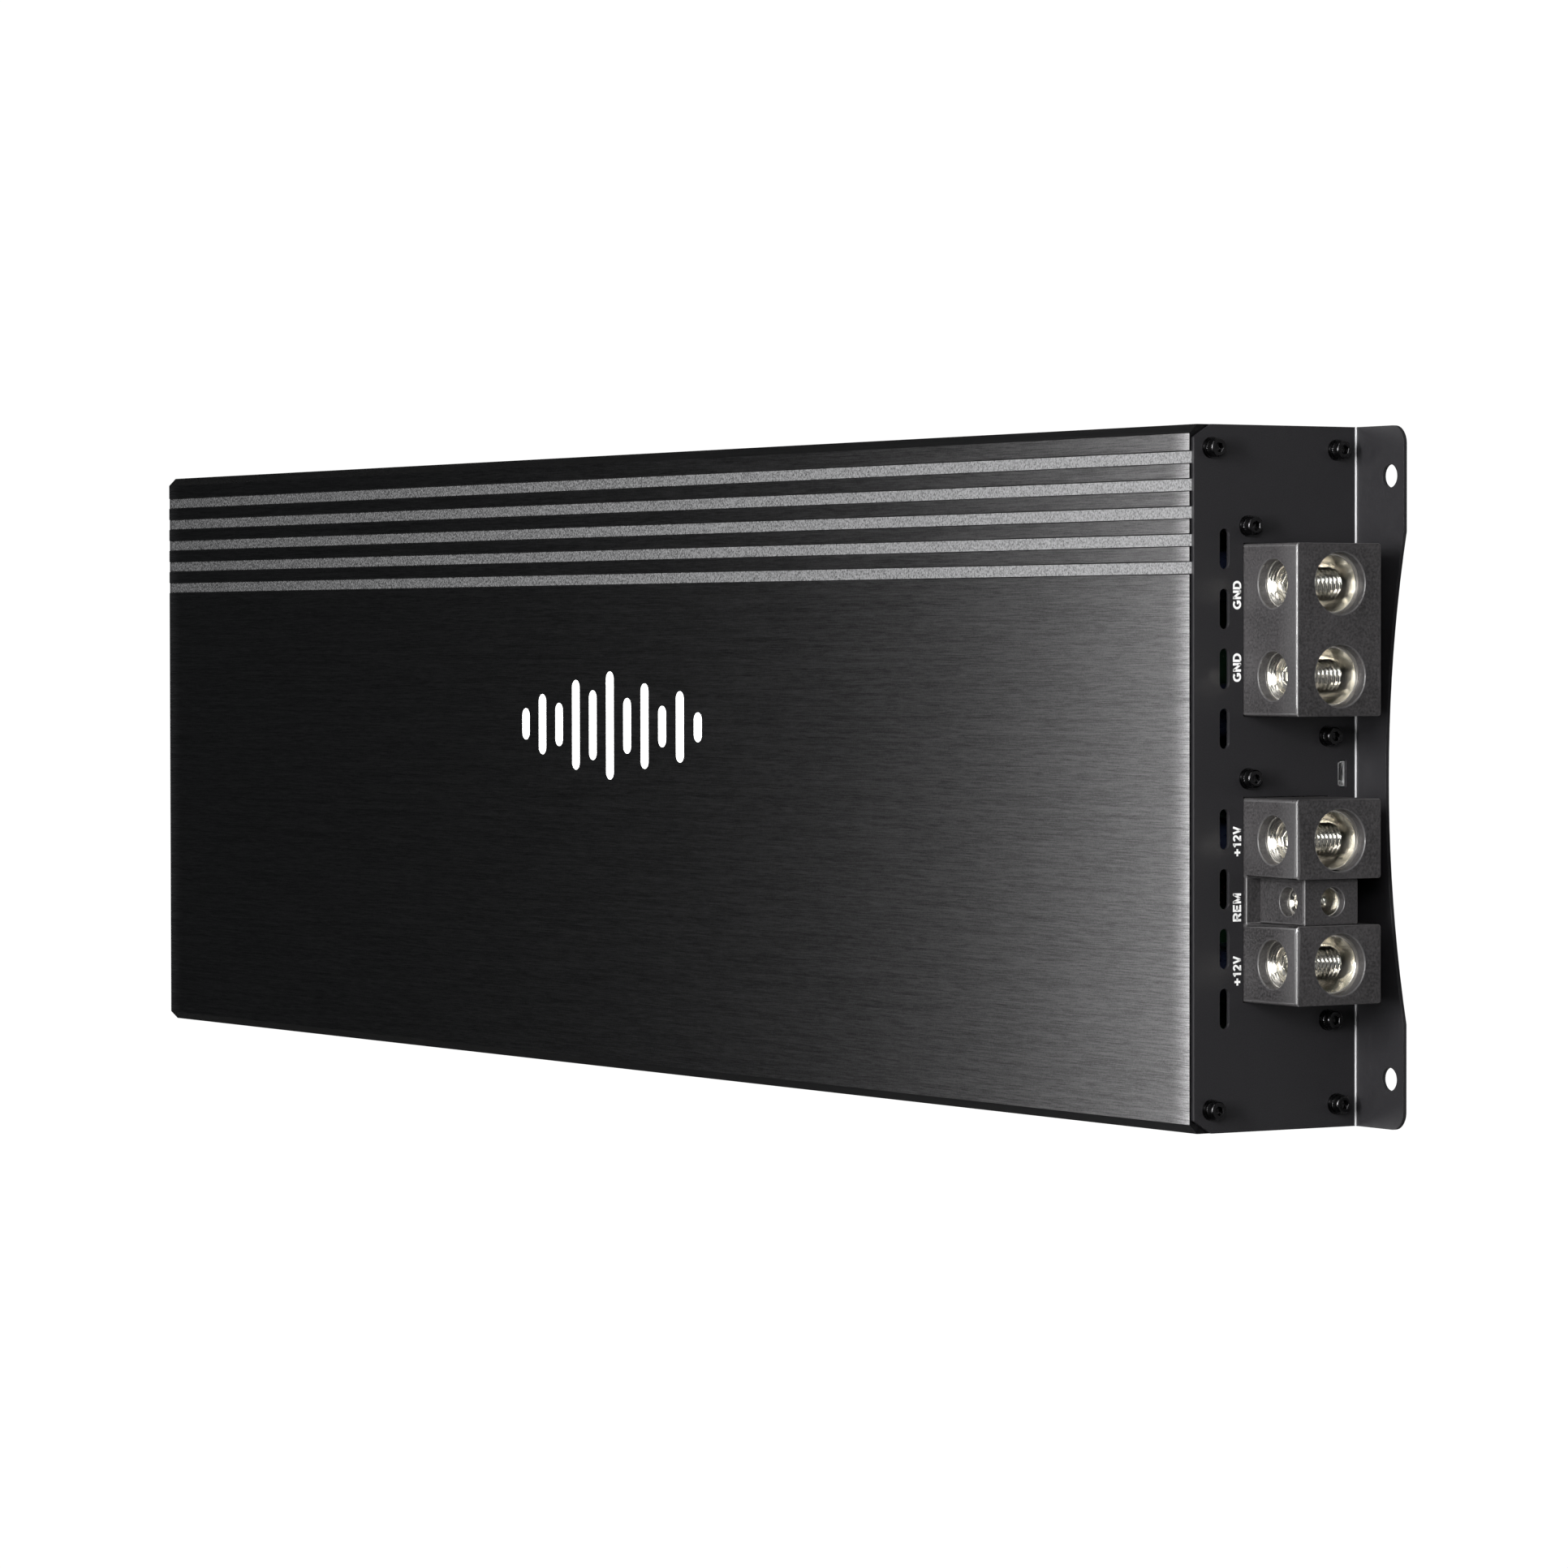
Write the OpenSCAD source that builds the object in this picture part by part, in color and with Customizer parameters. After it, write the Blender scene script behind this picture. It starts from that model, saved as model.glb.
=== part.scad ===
// Mono-block car audio amplifier: an extruded aluminium shell closed by a base plate and two bent-sheet end panels
// with mounting flanges. Power terminals are at the +X end, speaker terminals and controls at the -X end.
// Millimetres. Origin: centre of the footprint, on the mounting plane. +X towards the power terminals, +Z up.

/* [Body] */
// Length of the extruded shell along X
shell_len = 676; // [640:1:720]
// Width of the extruded shell along Y
shell_w = 210; // [208:1:220]
// Height of the shell from the mounting plane to the brushed top
shell_h = 62; // [61:0.5:68]
// Chamfer along the two long top edges
edge_c = 2.8; // [1:0.1:3.5]
// Thickness of the shell's top wall
top_t = 6; // [5:0.5:7]
// Thickness of the shell's side walls
side_t = 5.5; // [5:0.1:6]

/* [Top grooves] */
// Number of grooves along the shell
groove_n = 5; // [1:1:6]
// Distance from one groove to the next
groove_pitch = 8.17; // [7:0.01:9]
// Width of a groove at the top
groove_w = 4; // [3:0.1:5]
// Depth of a groove
groove_d = 0.8; // [0.4:0.1:1.5]
// Distance of the outermost groove's centre from the side of the shell
groove_edge = 9.8; // [8:0.1:12]

/* [End panels and flanges] */
// Thickness of the bent sheet
sheet_t = 1.2; // [1:0.1:1.5]
// Distance of the panels' top edge below the shell's top
panel_drop = 0.8; // [0.4:0.1:1.5]
// Reach of the mounting flange beyond the panel's outer face
flange_reach = 23.1; // [22:0.1:26]
// Depth of the hollow in the flange's outer edge
flange_hollow = 8.6; // [4:0.1:10]
// Radius of the flange's corners
flange_r = 5.5; // [3:0.5:8]
// Diameter of the mounting holes
mount_d = 7; // [6:0.1:8]
// Distance of the mounting holes from the panel's outer face
mount_x = 16.4; // [15:0.1:17]
// Distance between the mounting holes across the width
mount_span = 180; // [170:1:186]
// Length of a vent slot
vent_len = 12; // [8:0.5:14]
// Width of a vent slot
vent_w = 3.4; // [2:0.1:4]

/* [Power terminals] */
// Reach of the terminal housings beyond the panel's outer face
term_reach = 26.2; // [25:0.1:28]
// Diameter of the main cable entries in the plastic covers
cable_d = 18.3; // [17:0.1:18.5]
// Bore of the metal blocks behind them
metal_d = 16.5; // [14:0.1:16.8]
// Diameter of the access holes over the clamping screws
access_d = 14.5; // [12:0.1:15]
// Thread diameter of the main clamping screws
clamp_d = 10; // [8:0.5:10]
// Length of the main clamping screws
clamp_len = 16.5; // [14:0.1:16.8]

/* [Controls] */
// Diameter of the control knobs
knob_d = 11; // [9:0.5:12]
// Reach of the control knobs beyond the panel
knob_reach = 9; // [6:0.5:12]

/* [Hidden] */
$fn = 48;
e = 0.01;
hx = shell_len/2;            // half length of the shell
hy = shell_w/2;              // half width of the shell
xo = hx + sheet_t;           // outer face of an end panel
xt = xo + term_reach;        // front face of the terminal housings
boss_y = hy - 7;             // longitudinal screw channels
boss_z1 = 8.7;
boss_z2 = shell_h - 7;
rim = 0.05;                  // radial clearance of a screw in its hole

// power terminals: [y, z] of the cable bores
gnd_y = [57.8, 30.5];
pos_y = [-17.9, -54.6];
rem_y = -36.15;
cable_z = 27.1;
clamp_x = xt - 11.9;
term_z0 = 11.9;
term_z1 = 43;
brass_z0 = 14.5;
brass_z1 = 39.7;
front_t = 3.5;
clamp_top = 37.3;            // top of the screws as stored, nearly fully down
// speaker terminals
spk_y = [-75.5, -58, -40.5, -23];
spk_z = 26;
spk_z0 = 13;
spk_z1 = 38.5;
spk_d = 10.4;
spk_clamp = 8;
spk_top = 34;
// fixing screws of the terminal housings: [y, z]
pwr_fix = [[75, 41.5], [12.4, 12], [0, 41.5], [-72.6, 12]];
spk_fix = [[-9, 29], [-89, 18]];
// signal panel
rca_pos = [[62, 20], [80, 20], [62, 38], [80, 38]];
knob_y = [43, 27, 11, -5];
knob_z = 41;
sw_pos = [[27, 19], [11, 19]];
led_pos = [[-2, 16], [-2, 24]];
port_pos = [43, 19];
vent_y = [14.9, 32.65, 50.4, 68.15];
vent_z = shell_h - 11.9;
// base plate screws
base_x = [-310, -155, 0, 155, 310];
base_y = hy - 8;
base_t = 1.5;
// main board
pcb_z0 = 3.3;
pcb_z1 = 5.3;
pcb_x0 = -(hx - 24);
pcb_x1 = hx - 0.6;
pcb_y = hy - 13;
spacer_pos = [for (x = [-290, -145, 0, 145, 290], y = [-84, 84]) [x, y]];
// emblem bars: height of each bar, left to right
bars = [11, 21, 15, 31, 24, 37, 19, 29, 14, 24, 10];
bar_w = 5.2;
bar_pitch = 11.6;
emblem_y = 12.5;

// ---------- helpers ----------
module along_x(x0, len) { translate([x0, 0, 0]) rotate([90, 0, 90]) linear_extrude(len) children(); }
module xcyl(x0, x1, y, z, d) { translate([min(x0, x1), y, z]) rotate([0, 90, 0]) cylinder(d = d, h = abs(x1 - x0)); }
module zcyl(x, y, z0, z1, d) { translate([x, y, z0]) cylinder(d = d, h = z1 - z0); }
module box(a, b) { translate(a) cube([b[0] - a[0], b[1] - a[1], b[2] - a[2]]); }
module slot2d(l, w) { union() { square([l - w, w], center = true); for (s = [-1, 1]) translate([s*(l - w)/2, 0]) circle(d = w); } }
module hexx(x0, len, y, z, af) { translate([x0, y, z]) rotate([0, 90, 0]) cylinder(d = af/cos(30), h = len, $fn = 6); }
module chamfer_box(a, b, c) { // box with its four X edges chamfered
  along_x(a[0], b[0] - a[0]) polygon([[a[1] + c, a[2]], [b[1] - c, a[2]], [b[1], a[2] + c], [b[1], b[2] - c],
    [b[1] - c, b[2]], [a[1] + c, b[2]], [a[1], b[2] - c], [a[1], a[2] + c]]); }

// ---------- shell ----------
function groove_pts(i) = let (c = hy - groove_edge - i*groove_pitch, a = groove_w/2, b = groove_w/2 - 0.3)
  [[c + a, shell_h], [c + b, shell_h - groove_d], [c - b, shell_h - groove_d], [c - a, shell_h]];
module shell_outer() {
  polygon(concat([[-hy, 0], [hy, 0], [hy, shell_h - edge_c], [hy - edge_c, shell_h]],
    [for (i = [0:groove_n - 1]) each groove_pts(i)],
    [[-hy + edge_c, shell_h], [-hy, shell_h - edge_c]]));
}
module shell_cavity() {
  w = hy - side_t; b = hy - 11; r = hy - 3.3; t = shell_h - top_t;
  polygon([[r, -1], [r, base_t], [b, base_t], [b, 12], [w, 12], [w, t - 6.5], [b, t - 6.5], [b, t],
    [-b, t], [-b, t - 6.5], [-w, t - 6.5], [-w, 12], [-b, 12], [-b, base_t], [-r, base_t], [-r, -1]]);
}
module bars2d(g) { n = len(bars); for (i = [0:n - 1])
  translate([(i - (n - 1)/2)*bar_pitch, emblem_y]) rotate(90) slot2d(bars[i] + 2*g, bar_w + 2*g); }
module heatsink_shell() color([0.055, 0.055, 0.06]) difference() {
  along_x(-hx, shell_len) difference() {
    shell_outer();
    shell_cavity();
    for (y = [-1, 1], z = [boss_z1, boss_z2]) translate([y*boss_y, z]) circle(d = 3 + 2*rim);
  }
  for (x = base_x, s = [-1, 1]) zcyl(x, s*base_y, -1, 6.1, 3 + 2*rim);
  translate([0, 0, shell_h - top_t - 1]) linear_extrude(top_t + 2) bars2d(0.05);
  for (x = clamp_x_pos, s = [-1, 1]) translate([x, s*(hy - side_t - 1), clamp_z]) rotate([s*-90, 0, 0]) cylinder(d = 3 + 2*rim, h = 4.6);
}

module base_plate() color([0.07, 0.07, 0.075]) difference() {
  box([-hx + 0.3, -hy + 3.5, 0], [hx - 0.3, hy - 3.5, base_t]);
  for (x = base_x, s = [-1, 1]) { zcyl(x, s*base_y, -1, 3, 3.4); translate([x, s*base_y, -e]) cylinder(d1 = 5.8, d2 = 3.4, h = 1.2); }
  for (p = spacer_pos) zcyl(p[0], p[1], -1, 3, 3 + 2*rim);
}
module base_plate_screws() color([0.1, 0.1, 0.1]) for (x = base_x, s = [-1, 1]) translate([x, s*base_y, 0]) difference() {
  union() { translate([0, 0, 0.02]) cylinder(d1 = 5.6, d2 = 3, h = 1.3); translate([0, 0, 0.02]) cylinder(d = 3, h = 5.9); }
  translate([0, 0, -e]) cylinder(d = 2/cos(30), h = 1.2, $fn = 6);
}

// ---------- bent end panels ----------
module bend_profile(h) { // (x, z) with x measured outwards from the shell's end
  r = 1;
  difference() {
    union() {
      square([sheet_t, h]);
      square([sheet_t + flange_reach, sheet_t]);
      translate([sheet_t, sheet_t]) difference() { square(r); translate([r, r]) circle(r = r); }
    }
    difference() { translate([-1, -1]) square([sheet_t + r + 1, sheet_t + r + 1]);
      translate([sheet_t + r, sheet_t + r]) circle(r = sheet_t + r); }
  }
}
module panel_blank() {
  h = shell_h - panel_drop; xe = xo + flange_reach; ym = hy; a = 73.3;
  rr = (a*a + flange_hollow*flange_hollow)/(2*flange_hollow);
  difference() {
    translate([hx, hy, 0]) rotate([90, 0, 0]) linear_extrude(shell_w) bend_profile(h);
    for (s = [-1, 1]) {
      along_x(hx - 1, sheet_t + 2) polygon([[s*(hy - 4), h], [s*(hy - 4), h + 1], [s*(hy + 1), h + 1], [s*(hy + 1), h - 6.4], [s*hy, h - 6.4]]);
      translate([xe - flange_r, s*(hy - flange_r), -1]) linear_extrude(4) difference() {
        translate([0, s > 0 ? 0 : -flange_r - 1]) square([flange_r + 1, flange_r + 1]); circle(r = flange_r); }
      zcyl(xo + mount_x, s*mount_span/2, -1, 4, mount_d);
      for (z = [boss_z1, boss_z2]) xcyl(hx - 1, xo + 1, s*boss_y, z, 3.4);
      for (y = vent_y) translate([hx - 1, s*y, vent_z]) rotate([90, 0, 90]) linear_extrude(sheet_t + 2) slot2d(vent_len, vent_w);
    }
    translate([xe - flange_hollow + rr, 0, -1]) cylinder(r = rr, h = 4, $fn = 180);
  }
}
module power_end_panel() color([0.03, 0.03, 0.03]) difference() {
  panel_blank();
  box([hx - 1, 18.3, term_z0 - 0.2], [xo + 1, 70.0, term_z1 + 0.2]);
  box([hx - 1, -66.7, term_z0 - 0.2], [xo + 1, -5.4, term_z1 + 0.2]);
  for (p = pwr_fix) xcyl(hx - 1, xo + 1, p[0], p[1], 3.4);
  translate([0, 1.05, 5.3]) along_x(hx - 1, sheet_t + 2) polygon([[-4.05, -0.3], [4.05, -0.3], [4.05, 1.75], [3.3, 2.8], [-3.3, 2.8], [-4.05, 1.75]]);
}
module signal_end_panel() color([0.03, 0.03, 0.03]) mirror([1, 0, 0]) difference() {
  panel_blank();
  box([hx - 1, -84.2, spk_z0 - 0.2], [xo + 1, -13.8, spk_z1 + 0.2]);
  for (p = spk_fix) xcyl(hx - 1, xo + 1, p[0], p[1], 3.4);
  for (p = rca_pos) xcyl(hx - 1, xo + 1, p[0], p[1], 10.2);
  for (y = knob_y) xcyl(hx - 1, xo + 1, y, knob_z, 7.6);
  for (p = sw_pos) box([hx - 1, p[0] - 4.2, p[1] - 1.9], [xo + 1, p[0] + 4.2, p[1] + 1.9]);
  for (p = led_pos) xcyl(hx - 1, xo + 1, p[0], p[1], 3.2);
  box([hx - 1, port_pos[0] - 6.7, port_pos[1] - 6.2], [xo + 1, port_pos[0] + 6.7, port_pos[1] + 6.2]);
}

// ---------- cap screws with washers ----------
function all_screws() = concat([for (y = [-1, 1], z = [boss_z1, boss_z2]) [1, y*boss_y, z]], [for (p = pwr_fix) [1, p[0], p[1]]],
  [for (y = [-1, 1], z = [boss_z1, boss_z2]) [-1, y*boss_y, z]], [for (p = spk_fix) [-1, p[0], p[1]]]);
module on_panel(s) { translate([s[0]*xo, s[1], s[2]]) rotate([0, s[0]*90, 0]) children(); }
module panel_screws() color([0.05, 0.05, 0.05]) for (s = all_screws()) on_panel(s) difference() {
  union() { translate([0, 0, -9]) cylinder(d = 3, h = 10.5); translate([0, 0, 1.35]) cylinder(d = 5.5, h = 2.7);
    translate([0, 0, 4.05]) cylinder(d1 = 5.5, d2 = 5.0, h = 0.25); }
  translate([0, 0, 2.5]) cylinder(d = 2.5/cos(30), h = 3, $fn = 6);
}
module ring(d, b, h) { difference() { cylinder(d = d, h = h); translate([0, 0, -1]) cylinder(d = b, h = h + 2); } }
module panel_washers() color([0.08, 0.08, 0.08]) for (s = all_screws()) on_panel(s) ring(6.4, 3.2, 0.5);
module panel_spring_washers() color([0.08, 0.08, 0.08]) for (s = all_screws()) on_panel(s) translate([0, 0, 0.5]) difference() {
  ring(6.0, 3.3, 0.85); rotate(35) translate([1, -0.2, -1]) rotate([12, 0, 0]) cube([4, 0.4, 4]); }

// ---------- emblem ----------
module emblem_lens() color([0.95, 0.95, 0.95]) union() {
  translate([0, 0, shell_h - top_t - 0.5]) linear_extrude(top_t + 0.45) bars2d(-0.03);
  box([-66, emblem_y - 22, shell_h - top_t - 1.6], [66, emblem_y + 22, shell_h - top_t]);
}
module emblem_led_board() color([0.85, 0.87, 0.85]) union() {
  box([-64, emblem_y - 16, shell_h - top_t - 4.4], [64, emblem_y + 16, shell_h - top_t - 3.2]);
  for (i = [-5:5], j = [-1, 0, 1]) box([i*bar_pitch - 1.7, emblem_y + j*9 - 1.4, shell_h - top_t - 3.2], [i*bar_pitch + 1.7, emblem_y + j*9 + 1.4, shell_h - top_t - 2.2]);
  for (i = [-1, 1], j = [-1, 1]) zcyl(i*60, emblem_y + j*12, shell_h - top_t - 3.2, shell_h - top_t - 1.6, 4);
}

// ---------- power terminals ----------
module housing_block(y0, y1, ys) { // moulded cover around a brass block
  difference() {
    chamfer_box([hx - 1.2, y0, term_z0], [xt, y1, term_z1], 0.6);
    box([hx - 2.2, y0 + 2.2, brass_z0 - 0.1], [xt - front_t + 0.05, y1 - 2.2, brass_z1 + 0.1]);
    for (y = ys) { xcyl(xt - 5, xt + 1, y, cable_z, cable_d); zcyl(clamp_x, y, brass_z1 - 1, term_z1 + 1, access_d); }
  }
}
module inner_flange(y0, y1, fix, w0, w1) { difference() {
  box([hx - 3.4, y0, 7.2], [hx, y1, 46]);
  box([hx - 5, w0 + 2.2, brass_z0 - 0.1], [hx + 1, w1 - 2.2, brass_z1 + 0.1]);
  for (p = fix) xcyl(hx - 5, hx + 1, p[0], p[1], 3 + 2*rim); } }
module gnd_terminal_housing() color([0.09, 0.09, 0.095]) union() {
  housing_block(18.6, 69.7, gnd_y);
  inner_flange(7.4, 80, [pwr_fix[0], pwr_fix[1]], 18.6, 69.7);
}
module positive_terminal_housing() color([0.09, 0.09, 0.095]) difference() {
  union() {
    housing_block(-29.3, -5.7, [pos_y[0]]);
    housing_block(-66.5, -43, [pos_y[1]]);
    box([hx - 1.2, -43.5, term_z0 + 0.1], [xo + sheet_t, -28.8, term_z1 - 0.1]);
    difference() {
      box([hx - 3.4, -78, 7.2], [hx, 5, 46]);
      box([hx - 5, -3.4, 7], [hx + 1, 6, 8.4]);
      box([hx - 5, -27.1, brass_z0 - 0.1], [hx + 1, -7.9, brass_z1 + 0.1]);
      box([hx - 5, -64.3, brass_z0 - 0.1], [hx + 1, -45.2, brass_z1 + 0.1]);
      for (p = [pwr_fix[2], pwr_fix[3]]) xcyl(hx - 5, hx + 1, p[0], p[1], 3 + 2*rim);
    }
  }
  box([hx - 5, rem_y - 4.75, 20.1], [xo + sheet_t + 1, rem_y + 4.75, 35.7]);
}
module mouth(x, y, z, d, h) { translate([x, y, z - h]) cylinder(d1 = d, d2 = d + 2*h, h = h + e); translate([x, y, z]) cylinder(d = d + 2*h, h = 1); }
module brass_block(y0, y1, ys) { difference() {
  union() {
    box([hx - 12, y0, brass_z0], [xt - front_t, y1, brass_z1]);
    for (y = ys, d = [-6, 6]) zcyl(hx - 9, y + d, pcb_z0 - 1.2, brass_z0 + 1, 4);
  }
  for (y = ys) { xcyl(xt - front_t - 20, xt, y, cable_z, metal_d); zcyl(clamp_x, y, cable_z, brass_z1 + 1, clamp_d + 2*rim);
    mouth(clamp_x, y, brass_z1, clamp_d + 2*rim, 1.7); }
} }
module gnd_terminal_block() color([0.78, 0.75, 0.66]) brass_block(20.9, 67.4, gnd_y);
module positive_terminal_blocks() color([0.78, 0.75, 0.66]) { brass_block(-27, -8, [pos_y[0]]); brass_block(-64.2, -45.3, [pos_y[1]]); }
module set_screw(x, y, top, d, len, af) { translate([x, y, top - len]) difference() {
  union() { cylinder(d1 = d - 1.6, d2 = d, h = 0.8); translate([0, 0, 0.8]) cylinder(d = d, h = len - 1.4); translate([0, 0, len - 0.6]) cylinder(d1 = d, d2 = d - 1.2, h = 0.6); }
  translate([0, 0, len - min(5.5, len*0.5)]) cylinder(d = af/cos(30), h = 8, $fn = 6);
} }
module gnd_set_screw_1() color([0.8, 0.78, 0.72]) set_screw(clamp_x, gnd_y[0], clamp_top, clamp_d, clamp_len, 5);
module gnd_set_screw_2() color([0.8, 0.78, 0.72]) set_screw(clamp_x, gnd_y[1], clamp_top, clamp_d, clamp_len, 5);
module positive_set_screw_1() color([0.8, 0.78, 0.72]) set_screw(clamp_x, pos_y[0], clamp_top, clamp_d, clamp_len, 5);
module positive_set_screw_2() color([0.8, 0.78, 0.72]) set_screw(clamp_x, pos_y[1], clamp_top, clamp_d, clamp_len, 5);

rem_z0 = 18.1; rem_z1 = 37.9; rem_x1 = xt - 3.2; rem_d = 8.6; rem_metal = 8; rem_clamp = 5; rem_cx = rem_x1 - 7.9;
module remote_terminal_housing() color([0.09, 0.09, 0.095]) difference() {
  union() {
    chamfer_box([xo + sheet_t + 0.05, -42.9, rem_z0], [rem_x1, -29.4, rem_z1], 0.3);
    box([hx - 3.4, rem_y - 4.65, 20.2], [xo + sheet_t + 1, rem_y + 4.65, 35.6]);
  }
  box([hx - 5, rem_y - 3.3, 21.5], [xo + 4, rem_y + 3.3, 34.4]);
  box([xo + 3, rem_y - 5.35, 20.5], [rem_x1 - 2.6, rem_y + 5.35, 34.7]);
  xcyl(rem_x1 - 3, rem_x1 + 1, rem_y, 27.4, rem_d);
  zcyl(rem_cx, rem_y, 34, rem_z1 + 1, rem_d);
}
module remote_terminal_block() color([0.78, 0.75, 0.66]) difference() {
  union() {
    box([xo + 3.1, rem_y - 5.25, 20.6], [rem_x1 - 2.65, rem_y + 5.25, 34.6]);
    box([hx - 9, rem_y - 3.2, 24], [xo + 4, rem_y + 3.2, 30]);
    for (d = [-2, 2]) zcyl(hx - 7.5, rem_y + d, pcb_z0 - 1, 25, 1.6);
  }
  xcyl(rem_x1 - 14.5, rem_x1, rem_y, 27.4, rem_metal);
  zcyl(rem_cx, rem_y, 27.4, 36, rem_clamp + 2*rim);
  mouth(rem_cx, rem_y, 34.6, rem_clamp + 2*rim, 1);
}
module remote_set_screw() color([0.8, 0.78, 0.72]) set_screw(rem_cx, rem_y, 32.5, rem_clamp, 7.6, 2.5);

// ---------- service port ----------
module usb_port_shell() color([0.75, 0.75, 0.76]) translate([hx + 0.8, 1.05, 5.3]) difference() {
  translate([-5.4, 0, 0]) along_x(0, 5.4) polygon([[-3.75, 0], [3.75, 0], [3.75, 1.6], [3.1, 2.5], [-3.1, 2.5], [-3.75, 1.6]]);
  translate([-4.6, 0, 0]) along_x(0, 5.4) polygon([[-3.45, 0.3], [3.45, 0.3], [3.45, 1.45], [2.9, 2.2], [-2.9, 2.2], [-3.45, 1.45]]);
}
module usb_port_tongue() color([0.04, 0.04, 0.04]) box([hx + 0.8 - 4.6, 1.05 - 1.9, 5.3 + 0.95], [hx + 0.2, 1.05 + 1.9, 5.3 + 1.55]);

// ---------- speaker terminals ----------
module speaker_terminal_housing() color([0.09, 0.09, 0.095]) mirror([1, 0, 0]) union() {
  difference() {
    chamfer_box([hx - 1.2, -84, spk_z0], [xt, -14, spk_z1], 0.6);
    for (k = [0, 1]) box([hx - 2.2, k == 0 ? -82.2 : -47.8, 16.4], [xt - 2.6, k == 0 ? -50.2 : -15.8, 35.6]);
    for (y = spk_y) { xcyl(xt - 4, xt + 1, y, spk_z, spk_d + 1.2); zcyl(xt - 11, y, 35, spk_z1 + 1, spk_clamp + 2.4); }
  }
  difference() {
    box([hx - 3.4, -92.5, 12.4], [hx, -5.5, 36.4]);
    for (k = [0, 1]) box([hx - 5, k == 0 ? -82.2 : -47.8, 16.4], [hx + 1, k == 0 ? -50.2 : -15.8, 35.6]);
    for (p = spk_fix) xcyl(hx - 5, hx + 1, p[0], p[1], 3 + 2*rim);
  }
}
module speaker_terminal_blocks() color([0.78, 0.75, 0.66]) mirror([1, 0, 0]) for (k = [0, 1]) {
  y0 = k == 0 ? -82.1 : -47.7; y1 = k == 0 ? -50.3 : -15.9;
  difference() {
    union() { box([hx - 10, y0, 16.5], [xt - 2.65, y1, 35.5]);
      box([hx - 34, y0 + 4, 17], [hx - 9, y1 - 4, 20]);
      for (d = [10, 20]) zcyl(hx - 33 + 1.5, y0 + d, pcb_z0 - 1.2, 18, 3.4); }
    for (y = spk_y) { xcyl(xt - 2.65 - 18, xt, y, spk_z, spk_d); zcyl(xt - 11, y, spk_z, 37, spk_clamp + 2*rim);
      mouth(xt - 11, y, 35.5, spk_clamp + 2*rim, 1); }
  }
}
module spk_screw(i) { set_screw(-(xt - 11), spk_y[i], spk_top, spk_clamp, 10, 4); }
module speaker_set_screw_1() color([0.8, 0.78, 0.72]) spk_screw(0);
module speaker_set_screw_2() color([0.8, 0.78, 0.72]) spk_screw(1);
module speaker_set_screw_3() color([0.8, 0.78, 0.72]) spk_screw(2);
module speaker_set_screw_4() color([0.8, 0.78, 0.72]) spk_screw(3);

// ---------- signal jacks, port and controls ----------
cb_x = hx - 17;   // outer face of the control board, measured from the centre
module rca_jack_body() color([0.03, 0.03, 0.03]) mirror([1, 0, 0]) difference() {
  union() { box([cb_x, 53.5, 11], [hx - 0.2, 88.5, 47]); for (p = rca_pos) xcyl(hx - 1, xo + 0.8, p[0], p[1], 9.9); }
  for (p = rca_pos) xcyl(cb_x + 4, xo + 2, p[0], p[1], 7.28);
}
module rca_jack_shells() color([0.85, 0.7, 0.3]) mirror([1, 0, 0]) for (p = rca_pos) difference() {
  union() { xcyl(cb_x + 4.2, xo + 1, p[0], p[1], 7.2); xcyl(xo + 0.8, xo + 9.3, p[0], p[1], 8.3); }
  xcyl(cb_x + 3, xo + 10, p[0], p[1], 6.4);
  xcyl(xo + 1.4, xo + 10, p[0], p[1], 7.3);
}
module rca_insert(p) { difference() { union() { xcyl(cb_x + 4.2, xo + 2, p[0], p[1], 6.34); xcyl(xo + 1.43, xo + 8.6, p[0], p[1], 7.24); } xcyl(hx - 8, xo + 9.6, p[0], p[1], 3.3); } }
module rca_inserts_white() color([0.9, 0.9, 0.88]) mirror([1, 0, 0]) for (i = [1, 3]) rca_insert(rca_pos[i]);
module rca_inserts_red() color([0.7, 0.05, 0.05]) mirror([1, 0, 0]) for (i = [0, 2]) rca_insert(rca_pos[i]);
module level_remote_port() color([0.03, 0.03, 0.03]) mirror([1, 0, 0]) translate([0, port_pos[0], port_pos[1]]) difference() {
  box([cb_x, -6.5, -6], [xo + 0.4, 6.5, 6]);
  box([hx - 12, -4.9, -3.6], [xo + 1.4, 4.9, 3.4]);
  box([hx - 12, -3, 3.3], [xo + 1.4, 3, 4.6]);
}
module control_board() color([0.05, 0.25, 0.12]) mirror([1, 0, 0]) box([cb_x - 1.6, -8.5, 9], [cb_x, 91, 50]);
module control_pots() color([0.12, 0.13, 0.2]) mirror([1, 0, 0]) for (y = knob_y) difference() {
  union() { box([cb_x, y - 5, knob_z - 6], [hx - 6.5, y + 5, knob_z + 5]); xcyl(hx - 7, hx - 0.4, y, knob_z, 7); }
  xcyl(cb_x + 3, hx + 1, y, knob_z, 4.1);
}
module knob(y) { // knob with a moulded stem in the control's bush
  translate([0, y, knob_z]) difference() {
    union() {
      xcyl(cb_x + 3.4, xo + 2, 0, 0, 4);
      xcyl(xo + 0.6, xo + knob_reach - 0.6, 0, 0, knob_d);
      translate([xo + knob_reach - 0.6, 0, 0]) rotate([0, 90, 0]) cylinder(d1 = knob_d, d2 = knob_d - 1.2, h = 0.6);
    }
    for (a = [0:20:340]) rotate([a, 0, 0]) xcyl(xo + 1.6, xo + knob_reach + 1, knob_d/2 + 0.35, 0, 1.3);
    translate([xo + knob_reach - 0.5, -0.5, 1.2]) cube([2, 1, knob_d]);
  }
}
module level_knob() color([0.06, 0.06, 0.06]) mirror([1, 0, 0]) knob(knob_y[0]);
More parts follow.
